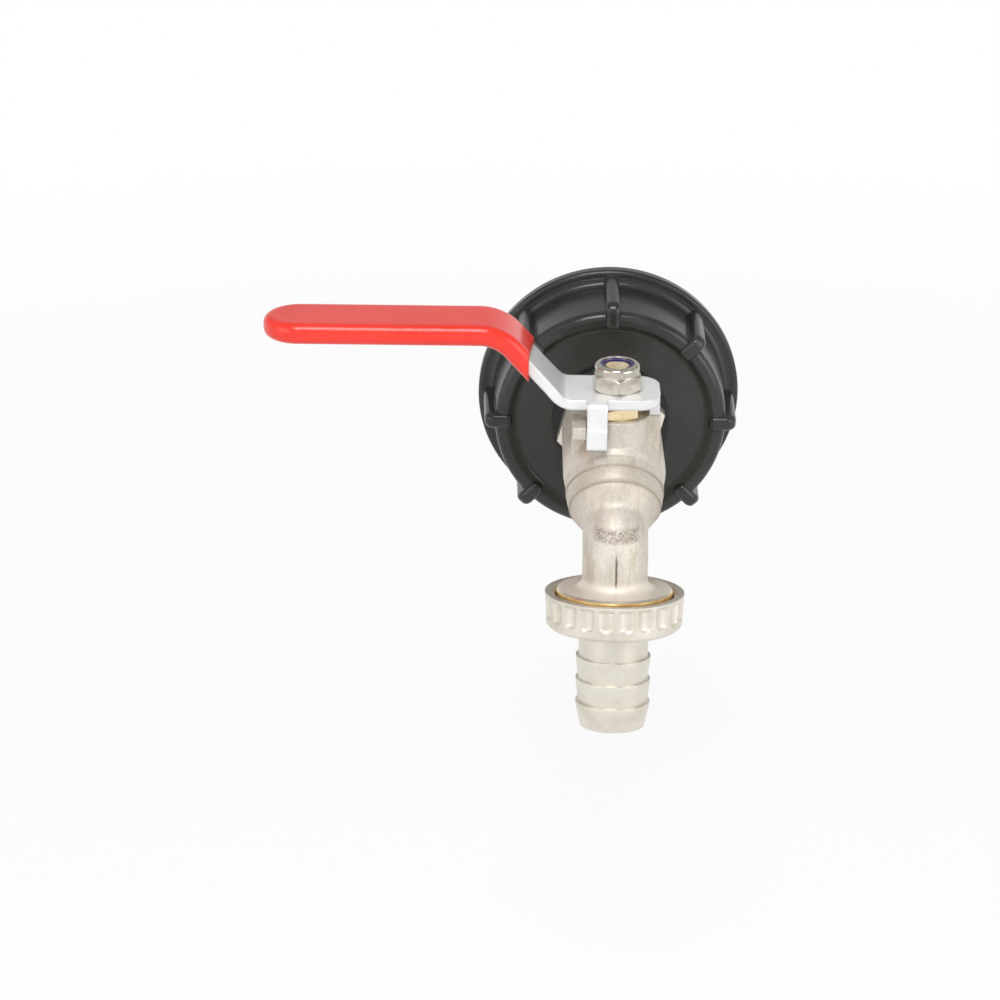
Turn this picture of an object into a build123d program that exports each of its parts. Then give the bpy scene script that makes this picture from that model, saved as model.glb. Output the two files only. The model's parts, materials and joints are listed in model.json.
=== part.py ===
from build123d import *
import os
from math import cos, radians, sin, tan

# Frame: origin in the cap's mouth on the tank thread axis, +Y into the tank, +Z up, millimetres

# Fits
still_gap = 0.05
running_gap = 0.1
thread_gap = 0.35

# Cap
cap_depth = 28.0
flange_radius = 40.5
flange_thickness = 4.8
flange_edge_round = 1.2
flange_step_radius = 38.2
flange_step = 0.5
skirt_radius_rear = 36.0
skirt_radius_front = 34.9
skirt_fillet = 2.0
rim_round = 2.4
rim_width = 3.7
dish_depth = 2.0
dish_run = 2.2
dish_round = 1.6
rim_inner_round = 0.8
tank_thread_radius = 30.0
tank_thread_length = 16.0
cap_gasket_outer = 28.6
cap_gasket_inner = 21.0
cap_gasket_thickness = 3.2

# Grip ribs of the cap
rib_count = 8
rib_width = 4.6
rib_radius_rear = 39.0
rib_radius_front = 38.1
rib_inner_radius = 29.8
rib_proud = 1.3
rib_round = 1.7
rib_nose_round = 3.0

# Inlet nipple between the cap and the tap
nipple_thread_radius = 13.1
nipple_proud = 1.7
nipple_bore = 8.5
nipple_hex = 29.0
nipple_hex_length = 5.5
nipple_hex_chamfer = 0.6
nipple_hex_clocking = -15.0
nipple_spigot_radius = 12.0
inlet_gasket_radius = 17.6
inlet_gasket_thickness = 2.0

# Ball and seats
ball_radius = 10.2
port_radius = 6.3
ball_chamber_gap = 0.6
seat_radius = 9.0
seat_thickness = 4.0
seat_cover = 0.3
seat_lip = 1.0
ball_slot_width = 3.4
ball_slot_depth = 3.0

# Tap body
barrel_length = 32.5
barrel_radius = 14.8
barrel_edge_round = 1.0
elbow_dip = 30.0
bulb_radius = 13.9
bulb_reach = 8.0
bulb_bead = 0.25
nose_radius = 13.25
nose_reach = 13.1
elbow_radius = 9.3
elbow_bend = 14.0
elbow_blend = 4.0
outlet_port_reach = 14.0
outlet_bore = 6.2
boss_radius = 9.6
boss_height = 18.8
stop_plate_thickness = 3.6
stop_lug_reach = 12.6
closed_lug_length = 10.6
open_lug_length = 6.6
closed_web_front = 4.5
lug_web_foot = 5.0

# Spout end
spout_reach = 25.0
spout_drop = 26.0
spout_lean = 11.2
spout_disc_radius = 16.5
spout_disc_thickness = 2.9
spout_disc_proud = 1.1
spout_disc_chamfer = 0.8
spout_flare = 3.0
spout_thread_root = 15.2

# Union nut
nut_radius_top = 19.8
nut_radius_bottom = 19.3
nut_height = 10.0
nut_chamfer = 0.9
nut_mouth_chamfer = 1.0
nut_lip = 1.6
flute_count = 22
flute_radius = 3.4
flute_depth = 0.6
flute_start = 0.8
flute_end = 7.7
flute_start_round = 0.8
flute_end_round = 1.8

# Hose tail and its gasket
tail_collar_radius = 16.0
tail_collar_thickness = 1.8
hose_gasket_radius = 15.0
hose_gasket_thickness = 1.5
tail_neck_radius = 9.9
tail_bore = 7.5
barb_radius = 10.66
barb_valley_radius = 9.95
barb_land = 0.8
barb_count = 3
barb_pitch = 6.75
barb_clearance = 0.34
first_barb = 8.6
tail_tip_radius = 9.3
tail_tip_length = 7.2

# Stem and its seals
stem_radius = 4.6
stem_collar_radius = 5.7
stem_collar_height = 1.6
stem_collar_gap = 0.4
stem_thread_radius = 4.0
stem_flat_width = 5.8
stem_top_below_nut = 0.7
tang_length = 7.4
tang_gap = 0.2
thrust_washer_thickness = 0.8
neck_shelf = 1.2
o_ring_section = 0.9
packing_height = 1.5
packing_radius = 6.6

# Gland nut
gland_hex = 15.0
gland_hex_height = 3.3
gland_chamfer = 0.5
gland_clocking = 12.6

# Lever and its dipped grip
lever_lift = 0.9
lever_thickness = 3.0
hub_half_width = 10.0
hub_end = 12.3
hub_round = 6.5
hub_length = 13.0
arm_half_width = 8.75
arm_taper = 7.0
arm_shoulder_round = 3.5
lever_bend = 15.6
lever_slope = 48.0
lever_rise = 19.75
lever_bend_radius = 6.0
lever_top_bend_radius = 13.0
lever_reach = 100.0
grip_coat = 1.5
grip_edge_round = 2.3
grip_from = 24.4
grip_edge_turn = -4.6
arm_end_round = 8.6

# Tabs folded down from the lever's hub
stop_tab_width = 5.8
stop_tab_offset = 5.7
stop_tab_reach = 13.2
stop_tab_length = 13.8
stop_tab_pad = 0.5
stop_tab_pad_length = 6.0
stop_tab_gap = 0.2
tab_fold_round = 2.4
end_tab_width = 7.5
end_tab_length = 6.7

# Lock nut with its nylon ring
lock_nut_hex = 13.0
lock_nut_hex_height = 4.9
lock_nut_clocking = 34.0
lock_nut_height = 7.6
lock_nut_chamfer = 0.9
lock_nut_crown_radius = 6.45
lock_nut_crown_round = 1.1
lock_nut_lip_radius = 4.85
lock_nut_lip = 0.5
nylon_height = 1.6
nylon_radius = 5.1

# Places along the tank thread axis
face_y = -(cap_depth - dish_depth)
hex_rear_y = face_y - inlet_gasket_thickness
hex_front_y = hex_rear_y - nipple_hex_length
ball_y = hex_front_y - barrel_length
gasket_shelf_y = -tank_thread_length
web_y = gasket_shelf_y - cap_gasket_thickness
nipple_end_y = web_y + nipple_proud

# Places along the ball's own axis, counted from its centre
seat_back = ball_radius + seat_cover
seat_front = seat_back - seat_thickness
nipple_nose = seat_front + seat_lip
chamber_radius = ball_radius + ball_chamber_gap

# Heights up the stem, counted from the ball's centre
slot_floor = ball_radius - ball_slot_depth
collar_low = ball_radius + stem_collar_gap
collar_top = collar_low + stem_collar_height
washer_low = collar_top + running_gap
shelf_low = washer_low + thrust_washer_thickness + still_gap
shelf_top = shelf_low + neck_shelf
o_ring_middle = shelf_top + still_gap + o_ring_section
packing_low = o_ring_middle + o_ring_section + still_gap
packing_top = packing_low + packing_height
gland_low = boss_height + still_gap
gland_top = gland_low + gland_hex_height
lever_low = gland_top + lever_lift
lever_top = lever_low + lever_thickness
lever_middle = lever_low + lever_thickness / 2
lock_nut_top = lever_top + lock_nut_height
stem_top = lock_nut_top - stem_top_below_nut
nylon_top = lock_nut_top - lock_nut_lip
nylon_low = nylon_top - nylon_height

# Places down the spout, counted from the union nut's top
lip_top = nut_height - nut_lip
collar_bottom = lip_top - running_gap
collar_start = collar_bottom - tail_collar_thickness
gasket_start = collar_start - hose_gasket_thickness
male_end = gasket_start - still_gap
first_barb_at = nut_height + first_barb
tail_end = first_barb_at + (barb_count - 1) * barb_pitch + tail_tip_length
nut_bore = spout_disc_radius + thread_gap

# Local frames: the ball and stem, and the spout with its own Z pointing down the spout
stem_axis = Pos(0, ball_y, 0)
lean = radians(spout_lean)
spout = Plane(
    origin=(0, ball_y - spout_reach, -spout_drop), x_dir=(1, 0, 0), z_dir=(0, -sin(lean), -cos(lean))
).location


def turned(points, radii=None):
    """Solid of revolution about Z from (radius, height) corners, each with an optional round."""
    corners = [(radius, 0, height) for radius, height in points]
    if radii is None:
        return revolve(make_face(Polyline(*corners, close=True)), Axis.Z)
    return revolve(make_face(FilletPolyline(*corners, radius=radii, close=True)), Axis.Z)


def ring(outer, inner, low, high):
    return turned([(inner, low), (outer, low), (outer, high), (inner, high)])


def along_tank_axis(solid):
    """Lays a solid built up +Z along +Y, so that its heights become places along the tank thread."""
    return Rot(-90, 0, 0) * solid


def hexagon(across_flats, low, high, chamfer_drop, turn):
    """Hexagonal prism with its corners turned off at both ends."""
    half = across_flats / 2
    corner = half / cos(radians(30))
    outline = RegularPolygon(half, 6, major_radius=False, rotation=turn)
    blank = [
        (0, low),
        (half, low),
        (corner, low + chamfer_drop),
        (corner, high - chamfer_drop),
        (half, high),
        (0, high),
    ]
    return extrude(Pos(0, 0, low) * outline, high - low) & turned(blank)


def cap_rib():
    """One grip rib at the top of the cap: along the skirt, round the rim and onto the face."""
    core_radius = skirt_radius_front - rim_width
    side = FilletPolyline(
        (0, -flange_thickness / 2, core_radius),
        (0, -flange_thickness / 2, rib_radius_rear),
        (0, -cap_depth - rib_proud, rib_radius_front),
        (0, -cap_depth - rib_proud, rib_inner_radius),
        (0, face_y + rib_proud, rib_inner_radius),
        (0, face_y + rib_proud, core_radius),
        radius=[0, 0, rib_nose_round, rib_round, 0, 0],
        close=True,
    )
    rib = extrude(make_face(side), rib_width / 2, dir=(1, 0, 0), both=True)
    return fillet(rib.faces().filter_by(Axis.X).edges(), rib_round)


def make_cap_shell():
    rim_crest = skirt_radius_front - rim_width
    skirt = turned(
        [
            (nipple_thread_radius + still_gap, web_y),
            (cap_gasket_outer + still_gap, web_y),
            (cap_gasket_outer + still_gap, gasket_shelf_y),
            (tank_thread_radius, gasket_shelf_y),
            (tank_thread_radius, 0),
            (flange_radius, 0),
            (flange_radius, -flange_thickness),
            (flange_step_radius, -flange_thickness),
            (flange_step_radius, -flange_thickness - flange_step),
            (skirt_radius_rear, -flange_thickness - flange_step),
            (skirt_radius_front, -cap_depth),
            (rim_crest, -cap_depth),
            (rim_crest - dish_run, face_y),
            (nipple_thread_radius + still_gap, face_y),
        ],
        [0, 0, 0, 0, 0, flange_edge_round, flange_edge_round]
        + [0, 0, skirt_fillet, rim_round, rim_inner_round, dish_round, 0],
    )
    rib = cap_rib()
    ribs = [Rot(0, place * 360 / rib_count, 0) * rib for place in range(rib_count)]
    return along_tank_axis(skirt) + ribs


def make_cap_gasket():
    return along_tank_axis(ring(cap_gasket_outer, cap_gasket_inner, web_y, gasket_shelf_y))


def make_inlet_gasket():
    washer = ring(inlet_gasket_radius, nipple_thread_radius + still_gap, hex_rear_y, face_y)
    return along_tank_axis(washer)


def make_inlet_nipple():
    """Threaded nipple with a hexagon; its long spigot holds the inlet seat against the ball."""
    nose_y = ball_y + nipple_nose
    seat_y = ball_y + seat_back
    blank = turned(
        [
            (seat_radius + still_gap, nose_y),
            (nipple_spigot_radius, nose_y),
            (nipple_spigot_radius, hex_front_y),
            (nipple_thread_radius, hex_front_y),
            (nipple_thread_radius, nipple_end_y),
            (nipple_bore, nipple_end_y),
            (nipple_bore, seat_y),
            (seat_radius + still_gap, seat_y),
        ]
    )
    flats = hexagon(nipple_hex, hex_front_y, hex_rear_y, nipple_hex_chamfer, nipple_hex_clocking)
    flats -= ring(nipple_spigot_radius, 0, hex_front_y, hex_rear_y)
    return along_tank_axis(blank + flats)


def make_seat(turn):
    """Seat ring on one side of the ball, hollowed to the ball's own sphere."""
    blank = ring(seat_radius, port_radius, seat_front, seat_back) - Sphere(ball_radius + running_gap)
    return stem_axis * Rot(turn, 0, 0) * blank


def make_ball():
    """Ball turned across the flow, with the slot for the stem's tang along the flow."""
    across = 3 * ball_radius
    slot = Pos(0, 0, slot_floor + across / 2) * Box(ball_slot_width, across, across)
    return stem_axis * (Sphere(ball_radius) - Rot(0, 90, 0) * Cylinder(port_radius, across) - slot)


def elbow_path():
    """Centre line in the plane of symmetry: out of the ball at the dip, round the bend, down the spout."""
    slope = tan(radians(elbow_dip))
    back_up = (spout_drop - spout_reach * slope) / (cos(lean) - sin(lean) * slope)
    corner_y = ball_y - spout_reach + back_up * sin(lean)
    corner_z = -spout_drop + back_up * cos(lean)
    return FilletPolyline(
        (0, ball_y, 0),
        (0, corner_y, corner_z),
        (0, ball_y - spout_reach, -spout_drop),
        radius=elbow_bend,
    )


def tube_along(path, radius):
    return sweep(Plane(origin=path @ 0, z_dir=path % 0) * Circle(radius), path=path)


def stop_lug(side, inner, front, length, web_front):
    """Lug beside the boss: a level plate that the lever's tab meets, and a web from it to the barrel."""
    plate_low = boss_height - stop_plate_thickness
    rear = front + length
    lug = Part()
    for low, high, start in ((plate_low, boss_height, front), (lug_web_foot, plate_low, web_front)):
        block = Box(stop_lug_reach - inner, rear - start, high - low)
        lug += Pos(side * (inner + stop_lug_reach) / 2, (start + rear) / 2, (low + high) / 2) * block
    return lug


def body_boss():
    """Boss round the stem, with the two lugs that stop the lever's tab closed and open."""
    closed_side = stop_tab_offset + stop_tab_width / 2 + stop_tab_gap
    open_side = stop_tab_offset - stop_tab_width / 2 - stop_tab_gap
    closed_front = stop_tab_gap - stop_tab_reach
    closed_lug = stop_lug(-1, closed_side, closed_front, closed_lug_length, -closed_web_front)
    open_lug = stop_lug(1, 0, -open_side, open_lug_length, -open_side)
    return stem_axis * (ring(boss_radius, 0, 0, boss_height) + closed_lug + open_lug)


def spout_end():
    """Flared disc that closes the union nut's mouth, and the threaded end inside the nut."""
    disc_top = -spout_disc_proud
    disc_bottom = disc_top + spout_disc_thickness
    neck_top = -2 * spout_flare
    corners = [
        (0, neck_top),
        (elbow_radius, neck_top),
        (elbow_radius, disc_top),
        (spout_disc_radius - spout_disc_chamfer, disc_top),
        (spout_disc_radius, disc_top + spout_disc_chamfer),
        (spout_disc_radius, disc_bottom),
        (spout_thread_root, disc_bottom),
        (spout_thread_root, male_end),
        (0, male_end),
    ]
    return spout * turned(corners, [0, 0, spout_flare, 0, 0, 0, 0, 0, 0])


def body_passages(path):
    """Inlet bore, ball chamber, outlet seat pocket, stem bore and the way out down the spout."""
    flow = [
        (0, -outlet_port_reach),
        (port_radius, -outlet_port_reach),
        (port_radius, -seat_back),
        (seat_radius + still_gap, -seat_back),
        (seat_radius + still_gap, -nipple_nose),
        (chamber_radius, -nipple_nose),
        (chamber_radius, nipple_nose - still_gap),
        (nipple_spigot_radius + still_gap, nipple_nose - still_gap),
        (nipple_spigot_radius + still_gap, barrel_length),
        (0, barrel_length),
    ]
    stem_side = [
        (0, 0),
        (stem_collar_radius + running_gap, 0),
        (stem_collar_radius + running_gap, shelf_low),
        (stem_radius + running_gap, shelf_low),
        (stem_radius + running_gap, shelf_top),
        (packing_radius + still_gap, shelf_top),
        (packing_radius + still_gap, boss_height),
        (0, boss_height),
    ]
    way_out = tube_along(path, outlet_bore) - stem_axis * Sphere(outlet_port_reach)
    way_out += spout * ring(outlet_bore, 0, -spout_flare, male_end)
    return [stem_axis * along_tank_axis(turned(flow)), stem_axis * turned(stem_side), way_out]


def make_valve_body():
    """Cast body: barrel, bulb and nose on the dipping axis, elbow, spout end and stem boss."""
    path = elbow_path()
    barrel_end = barrel_length - still_gap
    barrel = turned(
        [(0, 0), (barrel_radius, 0), (barrel_radius, barrel_end), (0, barrel_end)],
        [0, 0, barrel_edge_round, 0],
    )
    dip_axis = stem_axis * Rot(90 + elbow_dip, 0, 0)
    bulb = dip_axis * Pos(0, 0, bulb_reach) * Sphere(bulb_radius)
    elbow = tube_along(path, elbow_radius)
    hood = fillet(new_edges(bulb, elbow, combined=bulb + elbow), elbow_blend)
    rings = ring(bulb_radius + bulb_bead, 0, 0, bulb_reach) + ring(nose_radius, 0, bulb_reach, nose_reach)
    body = stem_axis * along_tank_axis(barrel) + stem_axis * Sphere(barrel_radius)
    body += [hood, dip_axis * rings, body_boss(), spout_end()]
    return body - body_passages(path)


def make_valve_stem():
    """Stem put in from inside: tang in the ball's slot, collar, shaft and a flatted, threaded end."""
    shaft = turned(
        [
            (0, collar_low),
            (stem_collar_radius, collar_low),
            (stem_collar_radius, collar_top),
            (stem_radius, collar_top),
            (stem_radius, lever_low),
            (0, lever_low),
        ]
    )
    tang_low = slot_floor + tang_gap
    tang = Pos(0, 0, tang_low) * Box(
        ball_slot_width - 2 * running_gap,
        tang_length,
        collar_top - tang_low,
        align=(Align.CENTER, Align.CENTER, Align.MIN),
    )
    return stem_axis * (shaft + tang + flatted_rod(0, lever_low, stem_top))


def flatted_rod(gap, low, high):
    """Round rod with two flats across it, front and rear."""
    slab = Pos(0, 0, (low + high) / 2) * Box(
        4 * stem_thread_radius, stem_flat_width + 2 * gap, high - low
    )
    return ring(stem_thread_radius + gap, 0, low, high) & slab


def make_thrust_washer():
    top = washer_low + thrust_washer_thickness
    return stem_axis * ring(stem_collar_radius, stem_radius + running_gap, washer_low, top)


def make_o_ring():
    middle = stem_radius + running_gap + o_ring_section
    return stem_axis * Pos(0, 0, o_ring_middle) * Torus(middle, o_ring_section)


def make_packing():
    return stem_axis * ring(packing_radius, stem_radius + running_gap, packing_low, packing_top)


def make_gland_nut():
    hole = ring(stem_radius + running_gap, 0, packing_top, gland_top)
    spigot = ring(packing_radius, 0, packing_top + still_gap, gland_low)
    flats = hexagon(gland_hex, gland_low, gland_top, gland_chamfer, gland_clocking)
    return stem_axis * (spigot + flats - hole)


def lever_corners():
    """Corners of the lever's centre line: hub end, foot and top of the slope, tip."""
    rise_run = lever_rise / tan(radians(lever_slope))
    hub = Vector(hub_end, ball_y, lever_middle)
    foot = Vector(-lever_bend, ball_y, lever_middle)
    top = foot + Vector(-rise_run, 0, lever_rise)
    tip = Vector(-lever_reach, ball_y, top.Z)
    return hub, foot, top, tip


def strip_along(path, section):
    return sweep(Plane(origin=path @ 0, x_dir=(0, 1, 0), z_dir=path % 0) * section, path=path)


def lever_plan():
    """Lever's outline seen from above, as a tall block."""
    upper = [
        (hub_end, hub_half_width),
        (-hub_length, hub_half_width),
        (-hub_length - arm_taper, arm_half_width),
        (-lever_reach + grip_coat, arm_half_width),
    ]
    lower = [(x, -y) for x, y in reversed(upper)]
    radii = [hub_round, arm_shoulder_round, arm_shoulder_round, arm_end_round]
    outline = FilletPolyline(*upper, *lower, radius=radii + radii[::-1], close=True)
    return stem_axis * extrude(make_face(outline), lever_middle + 2 * lever_rise)


def folded_tab(reach, length, width, place):
    """Tab folded down from the plate's edge, built along +X and then put in place."""
    hub_inside = reach - 2 * lever_thickness
    side = FilletPolyline(
        (hub_inside, 0, lever_low),
        (reach - lever_thickness, 0, lever_low),
        (reach - lever_thickness, 0, lever_top - length),
        (reach, 0, lever_top - length),
        (reach, 0, lever_top),
        (hub_inside, 0, lever_top),
        radius=[0, 0, 0, 0, tab_fold_round, 0],
        close=True,
    )
    return place * extrude(make_face(side), width / 2, dir=(0, 1, 0), both=True)


def make_lever_arm():
    """Stamped lever: bent strip trimmed to its outline, two folded tabs and the flatted stem hole."""
    path = FilletPolyline(*lever_corners(), radius=[lever_bend_radius, lever_top_bend_radius])
    strip = strip_along(path, Rectangle(2 * hub_half_width, lever_thickness))
    arm = strip & lever_plan()
    arm += stem_axis * folded_tab(
        stop_tab_reach, stop_tab_length, stop_tab_width, Pos(-stop_tab_offset, 0, 0) * Rot(0, 0, -90)
    )
    arm += stem_axis * Pos(-stop_tab_offset, -stop_tab_reach, lever_top - stop_tab_length) * Box(
        stop_tab_width,
        2 * stop_tab_pad,
        stop_tab_pad_length,
        align=(Align.CENTER, Align.CENTER, Align.MIN),
    )
    arm += stem_axis * folded_tab(hub_end, end_tab_length, end_tab_width, Pos(0, 0, 0))
    return arm - stem_axis * flatted_rod(still_gap, lever_low, lever_top)


def make_lever_grip(arm):
    """Dipped coat over the sloping and the level part of the lever, its edge level with the dip."""
    foot, top, tip = lever_corners()[1:]
    path = FilletPolyline(foot, top, tip, radius=lever_top_bend_radius)
    half = arm_half_width + grip_coat
    thick = lever_thickness + 2 * grip_coat
    strip = strip_along(path, RectangleRounded(2 * half, thick, grip_edge_round))
    room = 4 * lever_rise
    dip = Pos(-grip_from, ball_y, 0) * Rot(0, 0, grip_edge_turn) * Box(
        lever_reach, room, room, align=(Align.MAX, Align.CENTER, Align.MIN)
    )
    end = Pos(tip.X + half, ball_y, tip.Z)
    rounded = turned(
        [(0, -thick / 2), (half, -thick / 2), (half, thick / 2), (0, thick / 2)],
        [0, grip_edge_round, grip_edge_round, 0],
    )
    tail = strip & (end * Box(2 * half, room, room, align=(Align.MAX, Align.CENTER, Align.CENTER)))
    return ((strip - tail + end * rounded) & dip) - arm


def make_lock_nut():
    low = lever_top
    crown_base = low + lock_nut_hex_height
    crown = turned(
        [
            (0, low),
            (lock_nut_crown_radius, low),
            (lock_nut_crown_radius, lock_nut_top),
            (0, lock_nut_top),
        ],
        [0, 0, lock_nut_crown_round, 0],
    )
    bore = turned(
        [
            (0, low),
            (stem_thread_radius + still_gap, low),
            (stem_thread_radius + still_gap, nylon_low),
            (nylon_radius + still_gap, nylon_low),
            (nylon_radius + still_gap, nylon_top),
            (lock_nut_lip_radius, nylon_top),
            (lock_nut_lip_radius, lock_nut_top),
            (0, lock_nut_top),
        ]
    )
    flats = hexagon(lock_nut_hex, low, crown_base, lock_nut_chamfer, lock_nut_clocking)
    return stem_axis * (flats + crown - bore)


def make_nylon_insert():
    return stem_axis * ring(nylon_radius, stem_thread_radius + still_gap, nylon_low, nylon_top)


def make_union_nut():
    """Fluted nut: open mouth over the spout's disc, thread bore and the lip that carries the tail."""
    outside = turned(
        [
            (0, 0),
            (nut_radius_top, 0),
            (nut_radius_bottom, nut_height - nut_chamfer),
            (nut_radius_bottom - nut_chamfer, nut_height),
            (0, nut_height),
        ]
    )
    inside = turned(
        [
            (0, 0),
            (nut_bore + nut_mouth_chamfer, 0),
            (nut_bore, nut_mouth_chamfer),
            (nut_bore, lip_top),
            (barb_radius + barb_clearance, lip_top),
            (barb_radius + barb_clearance, nut_height),
            (0, nut_height),
        ]
    )
    flute_axis = nut_radius_bottom - flute_depth + flute_radius
    flute = Pos(flute_axis, 0, 0) * turned(
        [(0, flute_start), (flute_radius, flute_start), (flute_radius, flute_end), (0, flute_end)],
        [0, flute_start_round, flute_end_round, 0],
    )
    flutes = [Rot(0, 0, place * 360 / flute_count) * flute for place in range(flute_count)]
    return spout * (outside - inside - flutes)


def make_hose_tail():
    """Hose tail: collar on the nut's lip, plain neck, barbs with their steps facing the nut, tip."""
    outline = [
        (tail_bore, collar_start),
        (tail_collar_radius, collar_start),
        (tail_collar_radius, collar_bottom),
        (tail_neck_radius, collar_bottom),
    ]
    inner = tail_neck_radius
    for barb in range(barb_count):
        crest = first_barb_at + barb * barb_pitch
        outline += [(inner, crest), (barb_radius, crest), (barb_radius, crest + barb_land)]
        inner = barb_valley_radius
    outline += [(tail_tip_radius, tail_end), (tail_bore, tail_end)]
    return spout * turned(outline)


def make_hose_gasket():
    return spout * ring(hose_gasket_radius, tail_bore, gasket_start, collar_start)


lever_arm = make_lever_arm()
nodes = {
    "cap_shell": make_cap_shell(),
    "cap_gasket": make_cap_gasket(),
    "inlet_gasket": make_inlet_gasket(),
    "inlet_nipple": make_inlet_nipple(),
    "valve_body": make_valve_body(),
    "inlet_seat": make_seat(-90),
    "outlet_seat": make_seat(90),
    "ball": make_ball(),
    "valve_stem": make_valve_stem(),
    "stem_thrust_washer": make_thrust_washer(),
    "stem_o_ring": make_o_ring(),
    "stem_packing": make_packing(),
    "gland_nut": make_gland_nut(),
    "lever_arm": lever_arm,
    "lever_grip": make_lever_grip(lever_arm),
    "lock_nut": make_lock_nut(),
    "nylon_insert": make_nylon_insert(),
    "union_nut": make_union_nut(),
    "hose_tail": make_hose_tail(),
    "hose_gasket": make_hose_gasket(),
}

os.makedirs("parts", exist_ok=True)
for name, solid in nodes.items():
    export_step(solid, f"parts/{name}.step")
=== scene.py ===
"""Looks of the tank valve: materials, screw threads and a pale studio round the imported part."""
import json
import math

import bpy
from mathutils import Matrix, Vector


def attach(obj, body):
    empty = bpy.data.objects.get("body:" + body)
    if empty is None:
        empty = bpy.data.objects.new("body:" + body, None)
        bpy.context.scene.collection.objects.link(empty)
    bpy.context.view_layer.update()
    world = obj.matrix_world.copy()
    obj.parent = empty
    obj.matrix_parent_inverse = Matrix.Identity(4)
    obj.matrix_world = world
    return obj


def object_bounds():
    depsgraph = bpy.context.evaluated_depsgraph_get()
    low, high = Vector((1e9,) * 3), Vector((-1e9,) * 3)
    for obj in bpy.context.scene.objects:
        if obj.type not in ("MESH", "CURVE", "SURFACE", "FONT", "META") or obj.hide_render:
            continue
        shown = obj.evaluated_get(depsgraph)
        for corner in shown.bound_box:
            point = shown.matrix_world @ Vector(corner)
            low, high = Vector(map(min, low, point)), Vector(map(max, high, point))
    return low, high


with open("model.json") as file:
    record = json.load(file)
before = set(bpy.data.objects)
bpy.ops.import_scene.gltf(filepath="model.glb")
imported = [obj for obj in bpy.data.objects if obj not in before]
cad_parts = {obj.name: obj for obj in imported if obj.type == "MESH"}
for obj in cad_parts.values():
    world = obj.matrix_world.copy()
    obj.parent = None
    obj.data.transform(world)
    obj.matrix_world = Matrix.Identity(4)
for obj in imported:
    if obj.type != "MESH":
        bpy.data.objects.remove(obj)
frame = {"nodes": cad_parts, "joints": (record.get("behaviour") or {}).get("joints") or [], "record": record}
cad_low, cad_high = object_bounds()

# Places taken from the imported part; lengths are in metres from here on
joints = {joint["name"]: joint for joint in frame["joints"]}
mounts = {mount["name"]: mount for mount in frame["record"]["mounts"]}
slot_of = {part["node"]: part["material_slot"] for part in frame["record"]["subparts"]}
spout_origin = Vector(joints["union_nut_spin"]["pos_m"])
spout_axis = Vector(joints["union_nut_spin"]["axis"]).normalized()
stem_place = Vector(joints["lever_turn"]["pos_m"])
millimetre = 0.001
tank_thread_radius = mounts["tank_thread"]["dims"]["r_mm"] * millimetre
tank_thread_length = mounts["tank_thread"]["dims"]["length_mm"] * millimetre

# Screw threads; the widths of a ridge at its base and top are shares of its pitch
tank_pitch = 0.006
tank_crest_depth = 0.0024
tank_ridge_shares = (0.62, 0.30)
tank_ridge_gap = 0.0006
union_pitch = 0.002309
union_crest_depth = 0.00105
union_ridge_shares = (0.46, 0.12)
spout_thread_root = 0.0152
spout_thread_reach = (0.0030, 0.0044)
nut_thread_root = 0.01685
nut_thread_reach = (0.0030, 0.0076)
thread_sink = 0.00006
thread_fade_turns = 0.18
thread_least_height = 0.02
thread_steps_per_turn = 60

# Camera of the photograph
focal_pixels = 2400.0
image_pixels = 1000.0
sensor_width = 36.0
camera_azimuth = math.radians(0.49)
camera_elevation = math.radians(24.0)
camera_roll = math.radians(0.5)
camera_distance = 0.7537
camera_right = -0.03351
camera_up = -0.03525
camera_clip = (0.01, 50.0)

# Studio: a floor that bends up into a backdrop, the world round it and three lamps
floor_drop = 0.10
floor_half_width = 4.0
floor_colour = (0.92, 0.92, 0.92, 1)
floor_roughness = 0.9
floor_shadow_share = 0.11
floor_shadow_reach = (0.35, 0.9)
backdrop_distance = 3.0
backdrop_height = 4.0
backdrop_bend = 1.2
backdrop_steps = 8
white = (1, 1, 1, 1)
world_strength = 0.4
upper_dim = 0.5
world_dim_rise = (0.05, 0.6)
backdrop_dim_rise = (0.15, 1.6)
lamp_aim = (0.0, -0.06, 0.0)
lamps = {
    "key_lamp": {"place": (-0.10, -0.70, 0.97), "size": 0.48, "power": 7.0},
    "left_lamp": {"place": (-1.1, -0.9, 0.45), "size": 1.0, "power": 4.3},
    "right_lamp": {"place": (1.1, -0.9, 0.45), "size": 1.0, "power": 6.4},
}

# Disc on the spout: where its turned edge lies, where that is bare brass, and where its plate is painted
# paler as painted light
disc_edge_radius = 0.0156
disc_edge_reach = (-0.00105, 0.0019)
disc_bare_from = (-0.00066, -0.00050)
disc_painted_light_from = (-0.0050, -0.0020)
disc_painted_light_share = 0.8

# Painted shade on the chamfered thread round the stem's end, from a share of its radius outwards
stem_end_radius = 0.004
stem_shade_share = 0.8
stem_shade_fade = 0.04

# Marks left by casting, stains, and painted shade in rings at the bulb's steps
spout_front = -0.088
seam_half_width = 0.00020
seam_top = -0.0040
seam_fade = 0.001
seam_dark_top = -0.0125
seam_dark_end = -0.0220
seam_dark_fade = 0.002
patch_height = -0.0078
patch_half_height = 0.0016
patch_half_width = 0.0062
patch_height_fade = 0.0006
patch_width_fade = 0.0008
dip_angle = math.radians(30.0)
# Rings of painted shade at the steps round the bulb, partly brown stain, inside a broader brown stain
ring_places = (0.0080, 0.0131)
ring_half_width = 0.0005
ring_share = 0.6
stain_place = 0.0125
stain_half_width = 0.0040
stain_share = 0.55

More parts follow.
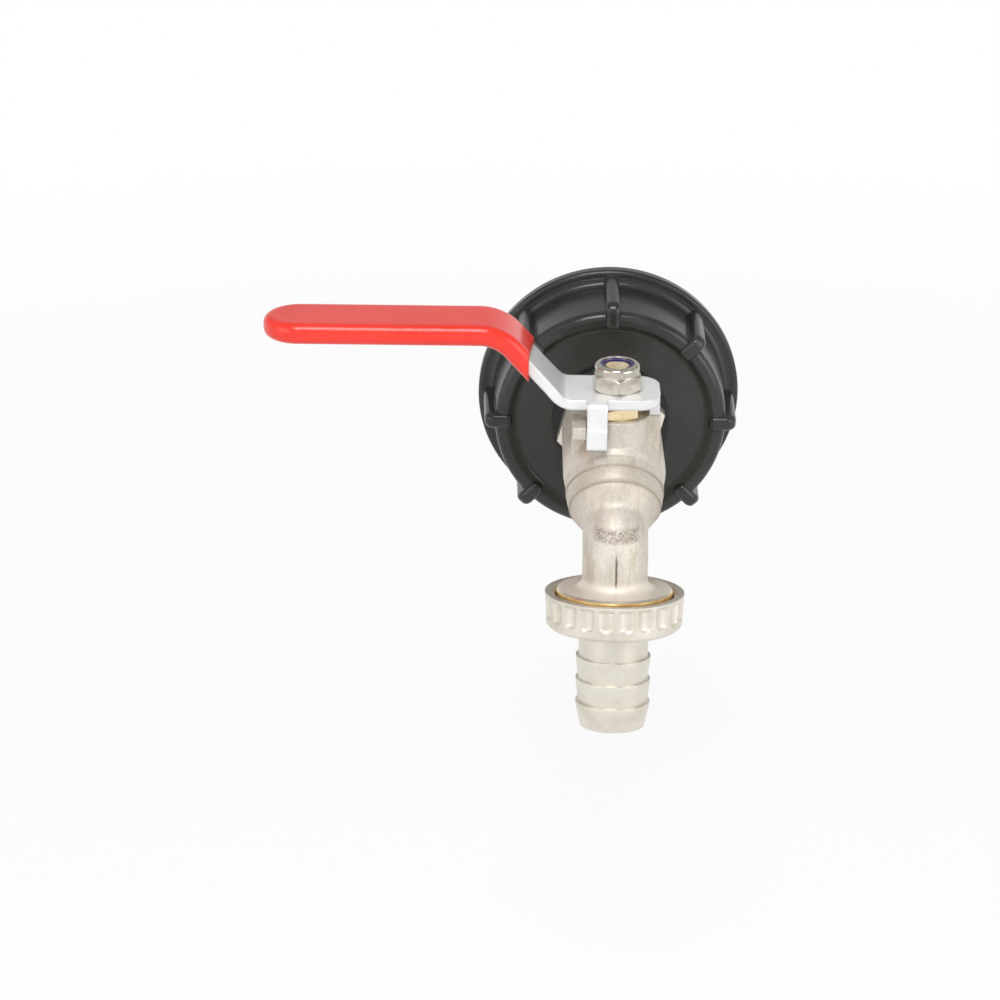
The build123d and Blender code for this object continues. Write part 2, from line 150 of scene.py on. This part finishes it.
# Colours as linear red, green, blue and opacity; pairs are the two ends of a blend
cap_colours = ((0.0200, 0.0200, 0.0188, 1), (0.0290, 0.0290, 0.0272, 1))
rubber_colours = ((0.006, 0.006, 0.006, 1), (0.014, 0.014, 0.014, 1))
cast_colours = ((0.61, 0.565, 0.495, 1), (0.71, 0.665, 0.59, 1))
cast_streak_colour = (0.50, 0.42, 0.32, 1)
# Colour of the brown stain round the bulb, and of the painted shade in its rings
cast_stain_and_shade_colour = (0.36, 0.29, 0.21, 1)
cast_mark_colour = (0.20, 0.15, 0.11, 1)
# Painted light: paler colour on the spout's disc
disc_painted_light_colour = (0.86, 0.79, 0.69, 1)
disc_plate_colour = (0.60, 0.54, 0.45, 1)
disc_brass_colours = ((0.86, 0.64, 0.29, 1), (0.62, 0.38, 0.14, 1))
turned_colours = ((0.75, 0.71, 0.625, 1), (0.61, 0.56, 0.465, 1))
brass_colours = ((0.95, 0.80, 0.53, 1), (0.80, 0.60, 0.32, 1))
# Painted shade of the chamfered thread on the stem's end
stem_shade_colour = (0.10, 0.075, 0.10, 1)
steel_colours = ((0.84, 0.85, 0.85, 1), (0.79, 0.795, 0.79, 1))
lock_nut_colours = ((0.58, 0.55, 0.485, 1), (0.46, 0.415, 0.345, 1))
chrome_colours = ((0.80, 0.80, 0.80, 1), (0.68, 0.68, 0.69, 1))
grip_colours = ((0.82, 0.030, 0.017, 1), (0.87, 0.038, 0.022, 1))
nylon_colours = ((0.045, 0.035, 0.15, 1), (0.08, 0.06, 0.24, 1))
seat_colours = ((0.74, 0.74, 0.72, 1), (0.86, 0.86, 0.84, 1))

# Range that most values of a noise lie in, and how far a turned surface's roughness strays
noise_span = (0.3, 0.7)
sheen_spread = 0.05
bevel_samples = 6


def set_input(tree, node, key, value):
    """Sets a node's input to a number or colour, or links another node's output to it."""
    if isinstance(value, bpy.types.NodeSocket):
        tree.links.new(value, node.inputs[key])
    else:
        node.inputs[key].default_value = value


def add_node(tree, kind, inputs=None, **settings):
    """Adds a node with its settings and inputs."""
    node = tree.nodes.new(kind)
    for key, value in settings.items():
        setattr(node, key, value)
    for key, value in (inputs or {}).items():
        set_input(tree, node, key, value)
    return node


def remapped(tree, value, low, high, out_low, out_high):
    """Carries a range of values smoothly over to another range."""
    inputs = {"Value": value, "From Min": low, "From Max": high, "To Min": out_low, "To Max": out_high}
    return add_node(tree, "ShaderNodeMapRange", inputs, interpolation_type="SMOOTHSTEP").outputs["Result"]


class Surface:
    """One node material: adds nodes in the part's own coordinates and feeds its shader."""

    def __init__(self, name, **settings):
        self.material = bpy.data.materials.new(name)
        self.material.use_nodes = True
        self.tree = self.material.node_tree
        self.shader = self.tree.nodes["Principled BSDF"]
        self.place = self.add("ShaderNodeTexCoord").outputs["Object"]
        self.feed(**settings)

    def add(self, kind, inputs=None, **settings):
        """Adds a node to the material."""
        return add_node(self.tree, kind, inputs, **settings)

    def feed(self, **inputs):
        """Sets or links inputs of the shader, named with _ for a space, and returns the material."""
        for key, value in inputs.items():
            set_input(self.tree, self.shader, key.replace("_", " "), value)
        return self.material

    def noise(self, scale, detail=4.0, roughness=0.55, distortion=0.0):
        """Noise with a number of features to the metre, the same in every direction."""
        return self.noise_at(self.place, scale, detail, roughness, distortion)

    def streaks(self, scales, detail, roughness=0.55):
        """Noise with its own number of features to the metre along each axis."""
        stretched = self.add("ShaderNodeMapping", {"Vector": self.place, "Scale": scales})
        return self.noise_at(stretched.outputs["Vector"], 1.0, detail, roughness, 0.0)

    def noise_at(self, place, scale, detail, roughness, distortion):
        """Noise at a place given by another node."""
        inputs = {"Vector": place, "Scale": scale, "Detail": detail}
        inputs.update({"Roughness": roughness, "Distortion": distortion})
        return self.add("ShaderNodeTexNoise", inputs).outputs["Fac"]

    def remap(self, value, low, high, out_low=0.0, out_high=1.0):
        """Carries a range of values smoothly over to another, or else to a share from 0 to 1."""
        return remapped(self.tree, value, low, high, out_low, out_high)

    def spread(self, noise, low=0.0, high=1.0):
        """Carries a noise's usual values over to a range."""
        return self.remap(noise, *noise_span, low, high)

    def blend(self, share, first, second):
        """Mixes two colours."""
        inputs = {0: share, 6: first, 7: second}
        return self.add("ShaderNodeMix", inputs, data_type="RGBA").outputs[2]

    def math(self, operation, first, second=0.0):
        """One operation on one or two values."""
        return self.add("ShaderNodeMath", {0: first, 1: second}, operation=operation).outputs[0]

    def product(self, *values):
        """Several values multiplied."""
        result = values[0]
        for value in values[1:]:
            result = self.math("MULTIPLY", result, value)
        return result

    def parts(self):
        """The three coordinates of a point."""
        return self.add("ShaderNodeSeparateXYZ", {0: self.place}).outputs

    def band(self, value, middle, half, fade):
        """1 where a value lies within half of a middle, fading out at both edges."""
        offset = self.math("ABSOLUTE", self.math("SUBTRACT", value, middle))
        return self.remap(offset, half - fade, half + fade, 1.0, 0.0)

    def spout_depth(self):
        """Distance below the spout's joint, along the leaning spout."""
        offset = self.add("ShaderNodeVectorMath", {0: self.place, 1: spout_origin}, operation="SUBTRACT")
        inputs = {0: offset.outputs[0], 1: spout_axis}
        return self.add("ShaderNodeVectorMath", inputs, operation="DOT_PRODUCT").outputs["Value"]

    def rounded(self, radius):
        """Normal with the edges softened to a radius."""
        return self.add("ShaderNodeBevel", {"Radius": radius}, samples=bevel_samples).outputs["Normal"]

    def bump(self, height, strength, distance, normal=None):
        """Normal tilted by a height, on top of another normal where one is given."""
        inputs = {"Height": height, "Strength": strength, "Distance": distance}
        if normal is not None:
            inputs["Normal"] = normal
        return self.add("ShaderNodeBump", inputs).outputs["Normal"]


def cap_plastic():
    """Black moulded plastic: satin, with a fine grain and faint flow marks."""
    surface = Surface("cap_plastic", IOR=1.48)
    grain = surface.noise(700.0, detail=1.0)
    flow = surface.noise(55.0, detail=3.0, distortion=0.8)
    colour = surface.blend(surface.spread(flow), *cap_colours)
    rough = surface.remap(flow, 0.25, 0.75, 0.21, 0.28)
    normal = surface.bump(grain, strength=0.05, distance=0.00008, normal=surface.rounded(0.0004))
    return surface.feed(Base_Color=colour, Roughness=rough, Normal=normal)


def black_rubber():
    """Dull black rubber with a slight mottling."""
    surface = Surface("black_rubber", IOR=1.5)
    mottle = surface.noise(420.0)
    colour = surface.blend(mottle, *rubber_colours)
    rough = surface.spread(mottle, 0.55, 0.72)
    normal = surface.bump(mottle, strength=0.1, distance=0.0001)
    return surface.feed(Base_Color=colour, Roughness=rough, Normal=normal)


def spout_front_share(surface):
    """1 on the front of the elbow and spout."""
    _, along, _ = surface.parts()
    return surface.remap(along, spout_front - seam_fade, spout_front + seam_fade, 1.0, 0.0)


def parting_line(surface):
    """Ragged line where the mould's halves met, and its dark stretch on the neck."""
    across, _, height = surface.parts()
    ragged = surface.product(surface.noise(1100.0, detail=3.0), 2 * seam_half_width)
    offset = surface.math("SUBTRACT", surface.math("ABSOLUTE", across), ragged)
    line = surface.remap(offset, 0.0, seam_half_width, 1.0, 0.0)
    below = surface.remap(height, seam_top - seam_fade, seam_top + seam_fade, 1.0, 0.0)
    seam = surface.product(line, below, spout_front_share(surface))
    middle = (seam_dark_top + seam_dark_end) / 2
    half = (seam_dark_top - seam_dark_end) / 2
    return seam, surface.product(seam, surface.band(height, middle, half, seam_dark_fade))


def rough_patch(surface):
    """Blotched patch above the elbow's bend."""
    across, _, height = surface.parts()
    tall = surface.band(height, patch_height, patch_half_height, patch_height_fade)
    wide = surface.band(across, 0.0, patch_half_width, patch_width_fade)
    blotch = surface.remap(surface.noise(1500.0, roughness=0.7), 0.38, 0.62, 0.1, 0.75)
    return surface.product(tall, wide, blotch, spout_front_share(surface))


def stain_and_shade_rings(surface):
    """Painted shade in two rings at the steps round the bulb, partly brown stain, within a broader and
    fainter brown stain.
    """
    _, along, height = surface.parts()
    ahead = surface.product(surface.math("SUBTRACT", along, stem_place.y), -math.cos(dip_angle))
    reach = surface.math("ADD", ahead, surface.product(height, -math.sin(dip_angle)))
    stain = surface.band(reach, stain_place, stain_half_width, stain_half_width)
    rings = surface.product(stain, stain_share)
    # Each ring is painted shade at a step round the bulb, partly brown stain
    for place in ring_places:
        ring = surface.band(reach, place, ring_half_width, ring_half_width)
        rings = surface.math("MAXIMUM", rings, ring)
    return rings


def nickel_cast():
    """Nickel plate over a sand-cast surface: fine grain, soft waviness, warm stains, casting marks, painted
    shade in rings at the bulb's steps and painted light on the spout's disc.
    """
    surface = Surface("nickel_cast", Metallic=0.5)
    grain = surface.noise(1300.0, detail=5.0, roughness=0.6)
    peel = surface.noise(230.0, detail=3.0)
    streak = surface.streaks((420.0, 120.0, 90.0), detail=4.0, roughness=0.6)
    seam, dark = parting_line(surface)
    patch = rough_patch(surface)
    clean = surface.blend(surface.spread(grain), *cast_colours)
    warm = surface.blend(surface.remap(streak, 0.45, 0.75, 0.0, 0.65), clean, cast_streak_colour)
    # Painted shade at the bulb's steps, partly brown stain
    stained_and_shaded = surface.blend(surface.product(stain_and_shade_rings(surface), ring_share), warm, cast_stain_and_shade_colour)
    marked = surface.blend(surface.math("MAXIMUM", dark, patch), stained_and_shaded, cast_mark_colour)
    # Painted light: the disc and the spout below the joint are painted paler
    disc = surface.remap(surface.spout_depth(), *disc_painted_light_from, 0.0, disc_painted_light_share)
    colour = surface.blend(disc, marked, disc_painted_light_colour)
    rough = surface.spread(peel, 0.48, 0.60)
    fine = surface.bump(grain, strength=0.14, distance=0.00012, normal=surface.rounded(0.0007))
    rolling = surface.bump(peel, strength=0.20, distance=0.0004, normal=fine)
    relief = surface.math("ADD", seam, patch)
    seamed = surface.bump(relief, strength=0.35, distance=0.0003, normal=rolling)
    return surface.feed(Base_Color=colour, Roughness=rough, Normal=seamed)


def nickel_turned(name, sheen):
    """Nickel plate over a turned surface: bright and satin, with light wear."""
    surface = Surface(name, Metallic=0.7)
    peel = surface.noise(160.0, detail=1.0)
    wear = surface.noise(90.0, roughness=0.6, distortion=0.4)
    colour = surface.blend(surface.remap(wear, 0.40, 0.80), *turned_colours)
    rough = surface.spread(peel, sheen - sheen_spread, sheen + sheen_spread)
    normal = surface.bump(peel, strength=0.08, distance=0.0003, normal=surface.rounded(0.0003))
    return surface.feed(Base_Color=colour, Roughness=rough, Normal=normal)


def painted_stem_edge_shade(surface):
    """Share of the painted shade on the chamfered thread round the stem's end."""
    across, along, _ = surface.parts()
    ahead = surface.math("SUBTRACT", along, stem_place.y)
    squares = surface.math("ADD", surface.product(across, across), surface.product(ahead, ahead))
    inner, outer = (
        (stem_shade_share + side * stem_shade_fade) * stem_end_radius for side in (-1, 1)
    )
    return surface.remap(surface.math("SQRT", squares), inner, outer)


def brass(name, painted_edge_shade):
    """Bare turned brass with a little tarnish; on the stem's end, painted shade darkens its chamfered
    thread.
    """
    surface = Surface(name, Metallic=0.9)
    tarnish = surface.noise(210.0, detail=5.0, roughness=0.6)
    colour = surface.blend(surface.remap(tarnish, 0.35, 0.75), *brass_colours)
    if painted_edge_shade:
        # Painted shade: the chamfered thread round the stem's end is drawn dark
        colour = surface.blend(painted_stem_edge_shade(surface), colour, stem_shade_colour)
    rough = surface.spread(tarnish, 0.22, 0.34)
    normal = surface.bump(tarnish, strength=0.06, distance=0.0002, normal=surface.rounded(0.0003))
    return surface.feed(Base_Color=colour, Roughness=rough, Normal=normal)


def disc_edge():
    """Edge of the spout's disc: plated at the top of its chamfer, bare brass below."""
    surface = Surface("disc_edge", Metallic=0.8)
    tarnish = surface.noise(160.0, detail=2.0)
    metal = surface.blend(surface.remap(tarnish, 0.35, 0.7), *disc_brass_colours)
    bare = surface.remap(surface.spout_depth(), *disc_bare_from)
    colour = surface.blend(bare, disc_plate_colour, metal)
    rough = surface.spread(tarnish, 0.26, 0.38)
    return surface.feed(Base_Color=colour, Roughness=rough, Normal=surface.rounded(0.0003))


def plated_steel():
    """Pale plated sheet steel: satin, faintly clouded, with soft stamped edges."""
    surface = Surface("plated_steel", Metallic=0.26)
    cloud = surface.noise(130.0, detail=2.0)
    colour = surface.blend(surface.spread(cloud), *steel_colours)
    rough = surface.spread(cloud, 0.15, 0.24)
    return surface.feed(Base_Color=colour, Roughness=rough, Normal=surface.rounded(0.0011))


def nut_plate():
    """Warm bright plate of the lock nut, clouded by wear."""
    surface = Surface("nut_plate", Metallic=0.95)
    wear = surface.noise(420.0)
    colour = surface.blend(surface.remap(wear, 0.4, 0.7), *lock_nut_colours)
    rough = surface.spread(wear, 0.12, 0.20)
    return surface.feed(Base_Color=colour, Roughness=rough, Normal=surface.rounded(0.0004))


def ball_chrome():
    """Polished chrome ball with faint wipe marks from its seats."""
    surface = Surface("ball_chrome", Metallic=1.0)
    wipe = surface.streaks((900.0, 900.0, 120.0), detail=3.0)
    colour = surface.blend(wipe, *chrome_colours)
    return surface.feed(Base_Color=colour, Roughness=surface.spread(wipe, 0.07, 0.16))


def grip_red():
    """Glossy dipped coat in red with a slightly wavy skin."""
    surface = Surface("grip_red", IOR=1.5)
    wave = surface.noise(60.0, detail=2.0)
    colour = surface.blend(surface.spread(wave), *grip_colours)
    rough = surface.spread(wave, 0.12, 0.18)
    normal = surface.bump(wave, strength=0.10, distance=0.001, normal=surface.rounded(0.0014))
    return surface.feed(Base_Color=colour, Roughness=rough, Normal=normal)


def nylon_blue():
    """Violet-blue nylon ring, slightly clouded."""
    surface = Surface("nylon_blue", IOR=1.53)
    cloud = surface.noise(600.0, detail=3.0)
    colour = surface.blend(cloud, *nylon_colours)
    return surface.feed(Base_Color=colour, Roughness=surface.spread(cloud, 0.3, 0.42))


def seat_plastic():
    """White seat plastic, faintly streaked by turning."""
    surface = Surface("seat_plastic", IOR=1.38)
    streak = surface.streaks((300.0, 2400.0, 300.0), detail=3.0)
    colour = surface.blend(streak, *seat_colours)
    return surface.feed(Base_Color=colour, Roughness=surface.spread(streak, 0.4, 0.52))


# Material of each slot, and of the nodes that look unlike the rest of their slot
materials = {
    "cap_plastic": cap_plastic(),
    "black_rubber": black_rubber(),
    "nickel_cast": nickel_cast(),
    "nickel_turned": nickel_turned("nickel_turned", sheen=0.33),
    "raw_brass": brass("raw_brass", painted_edge_shade=False),
    "lever_steel": plated_steel(),
    "ball_chrome": ball_chrome(),
    "grip_red": grip_red(),
    "nylon_blue": nylon_blue(),
    "seat_plastic": seat_plastic(),
}
own_materials = {
    "lock_nut": nut_plate(),
    "valve_stem": brass("stem_brass", painted_edge_shade=True),
    "union_nut": nickel_turned("nickel_brushed", sheen=0.43),
}


def dress_nodes():
    """Gives each solid its own material or that of its slot."""
    for name, node in frame["nodes"].items():
        node.data.materials.clear()
        node.data.materials.append(own_materials.get(name, materials[slot_of[name]]))


def dress_disc_edge():
    """Gives the turned edge of the spout's disc its own material."""
    mesh = frame["nodes"]["valve_body"].data
    mesh.materials.append(disc_edge())
    start, end = disc_edge_reach
    for polygon in mesh.polygons:
        offset = polygon.center - spout_origin
        depth = offset.dot(spout_axis)
        radius = (offset - spout_axis * depth).length
        if start < depth < end and radius > disc_edge_radius:
            polygon.material_index = 1


def add_mesh(name, points, faces):
    """New mesh object in the scene."""
    mesh = bpy.data.meshes.new(name)
    mesh.from_pydata(points, [], faces)
    mesh.update()
    piece = bpy.data.objects.new(name, mesh)
    bpy.context.scene.collection.objects.link(piece)
    return piece


def thread_ridge(name, place, reach, pitch, root, crest, shares, turn=0.0):
    """Right-hand helical ridge from the root radius to the crest, fading out at both ends."""
    start, end = reach
    base, top = (share * pitch for share in shares)
    turns = (end - start) / pitch
    steps = max(2, round(turns * thread_steps_per_turn))
    points = []
    for step in range(steps + 1):
        done = step / steps * turns
        fade = min(1.0, done / thread_fade_turns, (turns - done) / thread_fade_turns)
        tip = root + (crest - root) * max(fade, thread_least_height)
        angle = 2 * math.pi * done + turn
        middle = start + done * pitch
        for radius, offset in ((root, -base / 2), (tip, -top / 2), (tip, top / 2), (root, base / 2)):
            local = Vector((radius * math.cos(angle), radius * math.sin(angle), middle + offset))
            points.append(place @ local)
    faces = [(0, 1, 2, 3), tuple(steps * 4 + corner for corner in (3, 2, 1, 0))]
    for low in range(0, steps * 4, 4):
        for corner in range(4):
            after = (corner + 1) % 4
            faces.append((low + corner, low + 4 + corner, low + 4 + after, low + after))
    return add_mesh(name, points, faces)


def axis_frame(origin, axis):
    """Matrix whose Z lies along an axis."""
    return Matrix.Translation(origin) @ axis.to_track_quat("Z", "Y").to_matrix().to_4x4()


def add_threads():
    """Coarse tank thread in the cap, and the union thread on the spout and in its nut."""
    cap_frame = axis_frame(Vector((0, -tank_thread_length, 0)), Vector((0, 1, 0)))
    spout_frame = axis_frame(spout_origin, spout_axis)
    rim = tank_ridge_shares[0] * tank_pitch / 2 + tank_ridge_gap
    cap_ridge = thread_ridge(
        "tank_thread_ridge", cap_frame, (rim, tank_thread_length - rim), tank_pitch,
        tank_thread_radius + thread_sink, tank_thread_radius - tank_crest_depth, tank_ridge_shares
    )
    spout_ridge = thread_ridge(
        "spout_thread_ridge", spout_frame, spout_thread_reach, union_pitch,
        spout_thread_root - thread_sink, spout_thread_root + union_crest_depth, union_ridge_shares
    )
    nut_ridge = thread_ridge(
        "union_nut_thread_ridge", spout_frame, nut_thread_reach, union_pitch,
        nut_thread_root + thread_sink, nut_thread_root - union_crest_depth, union_ridge_shares, turn=math.pi
    )
    for piece, body, slot in (
        (cap_ridge, "valve", "cap_plastic"),
        (spout_ridge, "valve", "nickel_turned"),
        (nut_ridge, "union_nut", "nickel_turned"),
    ):
        piece.data.materials.append(materials[slot])
        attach(piece, body)


def larger(tree, first, second):
    """The larger of two values."""
    return add_node(tree, "ShaderNodeMath", {0: first, 1: second}, operation="MAXIMUM").outputs[0]


def mix_shaders(tree, share, first, second):
    """Mixes two shaders by a share."""
    return add_node(tree, "ShaderNodeMixShader", {0: share, 1: first, 2: second}).outputs[0]


def seen_or_lit(tree, seen, lit):
    """One shader for the camera, reflections and glass, and another for the light that falls on things."""
    path = add_node(tree, "ShaderNodeLightPath").outputs
    mirrored = larger(tree, path["Is Camera Ray"], path["Is Glossy Ray"])
    share = larger(tree, mirrored, path["Is Transmission Ray"])
    return mix_shaders(tree, share, lit, seen)


def reflected_glow(tree, place, rise):
    """Strength 1 to the camera; to reflections it falls to a dimmer value as a place rises."""
    camera_ray = add_node(tree, "ShaderNodeLightPath").outputs["Is Camera Ray"]
    height = add_node(tree, "ShaderNodeSeparateXYZ", {0: place}).outputs[2]
    return larger(tree, camera_ray, remapped(tree, height, *rise, 1.0, upper_dim))


def studio_world():
    """White surroundings that light the object gently and are greyer overhead in reflections."""
    world = bpy.data.worlds.new("studio")
    bpy.context.scene.world = world
    world.use_nodes = True
    tree = world.node_tree
    lit = tree.nodes["Background"]
    lit.inputs["Color"].default_value = white
    lit.inputs["Strength"].default_value = world_strength
    direction = add_node(tree, "ShaderNodeTexCoord").outputs["Generated"]
    strength = reflected_glow(tree, direction, world_dim_rise)
    seen = add_node(tree, "ShaderNodeBackground", {"Color": white, "Strength": strength})
    shown = seen_or_lit(tree, seen.outputs[0], lit.outputs[0])
    tree.links.new(shown, tree.nodes["World Output"].inputs["Surface"])


def floor_paper():
    """White to the eye but for the object's shadow near it; its backdrop is greyer in reflections."""
    material = bpy.data.materials.new("floor_paper")
    material.use_nodes = True
    tree = material.node_tree
    paper = tree.nodes["Principled BSDF"]
    paper.inputs["Base Color"].default_value = floor_colour
    paper.inputs["Roughness"].default_value = floor_roughness
    place = add_node(tree, "ShaderNodeNewGeometry").outputs["Position"]
    away = add_node(tree, "ShaderNodeVectorMath", {0: place}, operation="LENGTH").outputs["Value"]
    strength = reflected_glow(tree, place, backdrop_dim_rise)
    glow = add_node(tree, "ShaderNodeEmission", {"Strength": strength})
    glow_share = remapped(tree, away, *floor_shadow_reach, 1 - floor_shadow_share, 1.0)
    pale = mix_shaders(tree, glow_share, paper.outputs[0], glow.outputs[0])
    shown = seen_or_lit(tree, pale, paper.outputs[0])
    tree.links.new(shown, tree.nodes["Material Output"].inputs["Surface"])
    return material


def studio_floor():
    """Pale floor that bends up into a backdrop."""
    level = cad_low.z - floor_drop
    bend_start = backdrop_distance - backdrop_bend
    profile = [(-backdrop_distance, 0.0), (bend_start, 0.0)]
    for step in range(1, backdrop_steps + 1):
        angle = step / backdrop_steps * math.pi / 2
        along = bend_start + backdrop_bend * math.sin(angle)
        profile.append((along, backdrop_bend - backdrop_bend * math.cos(angle)))
    profile.append((backdrop_distance, backdrop_height))
    points = [(side * floor_half_width, along, level + up) for along, up in profile for side in (-1, 1)]
    faces = [(low, low + 1, low + 3, low + 2) for low in range(0, 2 * len(profile) - 2, 2)]
    floor = add_mesh("floor", points, faces)
    for polygon in floor.data.polygons:
        polygon.use_smooth = True
    floor.data.materials.append(floor_paper())


def studio_lamps():
    """A key above the camera and two soft sides, all square and aimed at the tap."""
    for name, lamp in lamps.items():
        data = bpy.data.lights.new(name, "AREA")
        data.size = lamp["size"]
        data.energy = lamp["power"]
        stand = bpy.data.objects.new(name, data)
        stand.location = lamp["place"]
        stand.rotation_mode = "QUATERNION"
        stand.rotation_quaternion = (Vector(lamp_aim) - Vector(lamp["place"])).to_track_quat("-Z", "Y")
        bpy.context.scene.collection.objects.link(stand)


def photo_camera():
    """Camera at the photograph's place and lens."""
    level_reach = math.cos(camera_elevation)
    back = Vector((
        math.sin(camera_azimuth) * level_reach,
        -math.cos(camera_azimuth) * level_reach,
        math.sin(camera_elevation),
    ))
    right = Vector((math.cos(camera_azimuth), math.sin(camera_azimuth), 0.0))
    up = back.cross(right)
    place = back * camera_distance + right * camera_right + up * camera_up
    rolled_right = right * math.cos(camera_roll) + up * math.sin(camera_roll)
    rolled_up = up * math.cos(camera_roll) - right * math.sin(camera_roll)
    data = bpy.data.cameras.new("photo_camera")
    data.sensor_width = sensor_width
    data.lens = focal_pixels * sensor_width / image_pixels
    data.clip_start, data.clip_end = camera_clip
    camera = bpy.data.objects.new("photo_camera", data)
    turn = Matrix((rolled_right, rolled_up, back)).transposed().to_4x4()
    camera.matrix_world = Matrix.Translation(place) @ turn
    bpy.context.scene.collection.objects.link(camera)
    bpy.context.scene.camera = camera


dress_nodes()
dress_disc_edge()
add_threads()
studio_world()
studio_floor()
studio_lamps()
photo_camera()
bpy.context.scene.view_settings.view_transform = "Standard"
